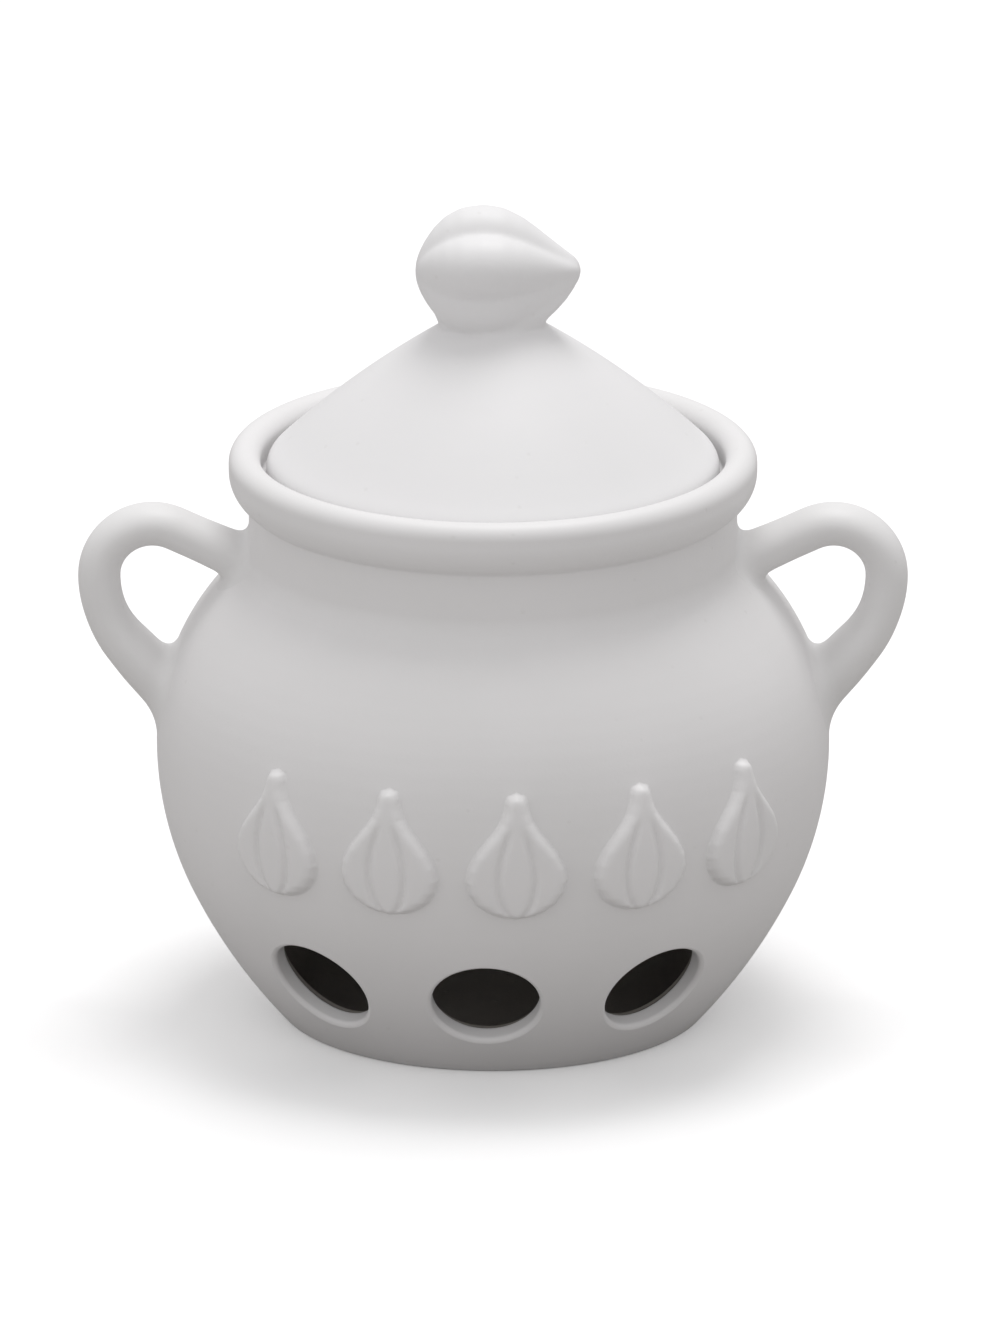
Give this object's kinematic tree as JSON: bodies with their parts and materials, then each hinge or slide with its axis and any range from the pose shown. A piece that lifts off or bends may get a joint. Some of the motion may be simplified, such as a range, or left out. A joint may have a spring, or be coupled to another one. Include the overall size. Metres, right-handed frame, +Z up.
{
  "type": "garlic keeper",
  "caption": "Round ceramic pot with air holes and ear handles, and a loose domed lid with a garlic-shaped knob, for keeping garlic dry and aired.",
  "frame": {"origin": "centre of the foot, on the surface the pot stands on", "axes": "+Z up along the pot's axis, -Y towards the front with the raised bulbs, X along the line of the two handles"},
  "size_m": [0.154, 0.1265, 0.1557],
  "materials": {
    "white_glaze": "satin white glaze"
  },
  "bodies": {
    "pot": {"pot_body": "white_glaze", "left_handle": "white_glaze", "right_handle": "white_glaze", "raised_bulb_1": "white_glaze", "raised_bulb_2": "white_glaze", "raised_bulb_3": "white_glaze", "raised_bulb_4": "white_glaze", "raised_bulb_5": "white_glaze"},
    "lid": {"lid_dome": "white_glaze", "garlic_knob": "white_glaze"}
  },
  "joints": [
    {"name": "lid_lift", "type": "slide", "parent": "pot", "child": "lid", "axis": [0, 0, 1], "range_m": [0, 0.08]}
  ]
}
